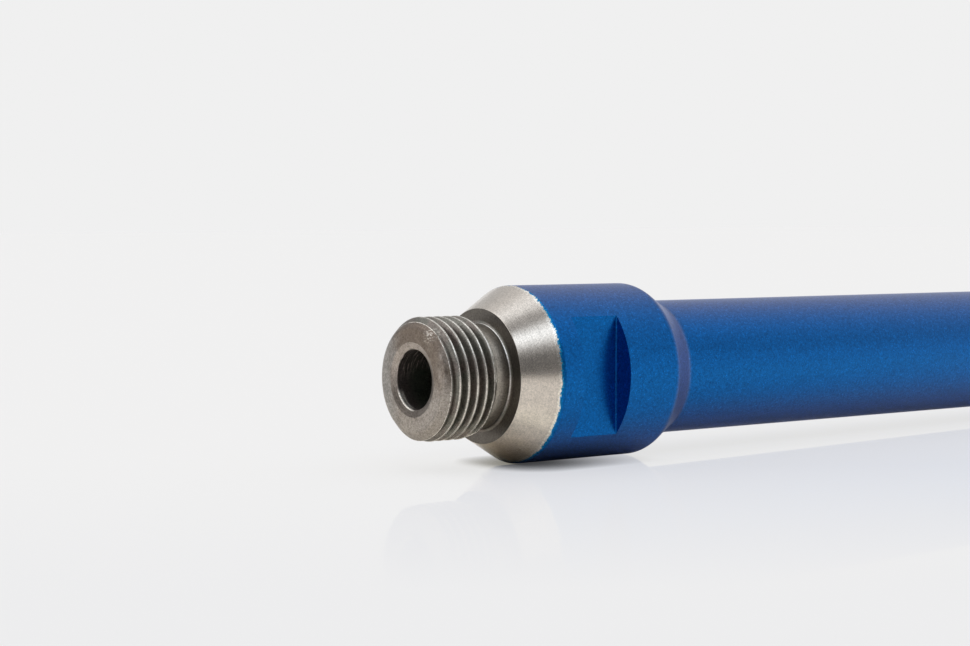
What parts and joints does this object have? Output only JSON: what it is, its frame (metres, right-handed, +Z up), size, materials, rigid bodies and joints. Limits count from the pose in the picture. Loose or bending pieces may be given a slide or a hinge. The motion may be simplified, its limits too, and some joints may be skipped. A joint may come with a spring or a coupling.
{
  "type": "diamond core bit",
  "caption": "Wet diamond core bit: externally threaded steel connector with coolant bore and spanner flats, blue barrel tube, segmented crown.",
  "frame": {"origin": "on the bit's axis, in the shoulder face that seats on the spindle", "axes": "+X along the bit's axis towards the crown, -Y is the outward normal of one spanner flat, +Z up with the bit lying on its side"},
  "size_m": [0.3517, 0.0308, 0.0308],
  "materials": {
    "connector": "turned steel, bare on the thread spigot, shoulder and nose, blue metallic paint on the body",
    "barrel_tube": "blue metallic paint, semi-gloss",
    "diamond_segment": "sintered metal with exposed diamond grit"
  },
  "bodies": {
    "root": {"connector": "connector", "barrel_tube": "barrel_tube", "diamond_segment_1": "diamond_segment", "diamond_segment_2": "diamond_segment", "diamond_segment_3": "diamond_segment"}
  },
  "joints": []
}
